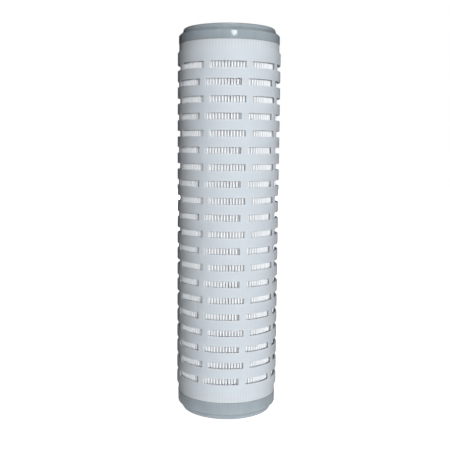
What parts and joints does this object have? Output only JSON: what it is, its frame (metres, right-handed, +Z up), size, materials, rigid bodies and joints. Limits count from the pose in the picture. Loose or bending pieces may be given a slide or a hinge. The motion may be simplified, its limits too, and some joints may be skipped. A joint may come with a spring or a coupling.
{
  "type": "filter cartridge",
  "caption": "Pleated filter cartridge with a slotted cage, a perforated core, a pleated pack of three layers, welded end caps and a flat gasket at each open end.",
  "frame": {"origin": "centre of the lower gasket's face, the lowest point, on the cartridge's axis", "axes": "+Z up the cartridge along its axis; -Y is the front, where the middle slots are; the pack's side seam is at the back, +Y"},
  "size_m": [0.0676, 0.0674, 0.254],
  "materials": {
    "cage_plastic": "moulded translucent white polypropylene, satin",
    "support_fleece": "calendered spunbond polypropylene fleece",
    "membrane": "smooth white microporous membrane",
    "weld_plastic": "re-melted polypropylene",
    "core_plastic": "moulded white polypropylene",
    "cap_plastic": "translucent blue-grey polypropylene, glossy from the weld",
    "gasket_silicone": "soft translucent white silicone"
  },
  "bodies": {
    "root": {"outer_cage": "cage_plastic", "upstream_support": "support_fleece", "filter_membrane": "membrane", "downstream_support": "support_fleece", "side_seam": "weld_plastic", "inner_core": "core_plastic", "top_end_cap": "cap_plastic", "bottom_end_cap": "cap_plastic", "top_gasket": "gasket_silicone", "bottom_gasket": "gasket_silicone"}
  },
  "joints": []
}
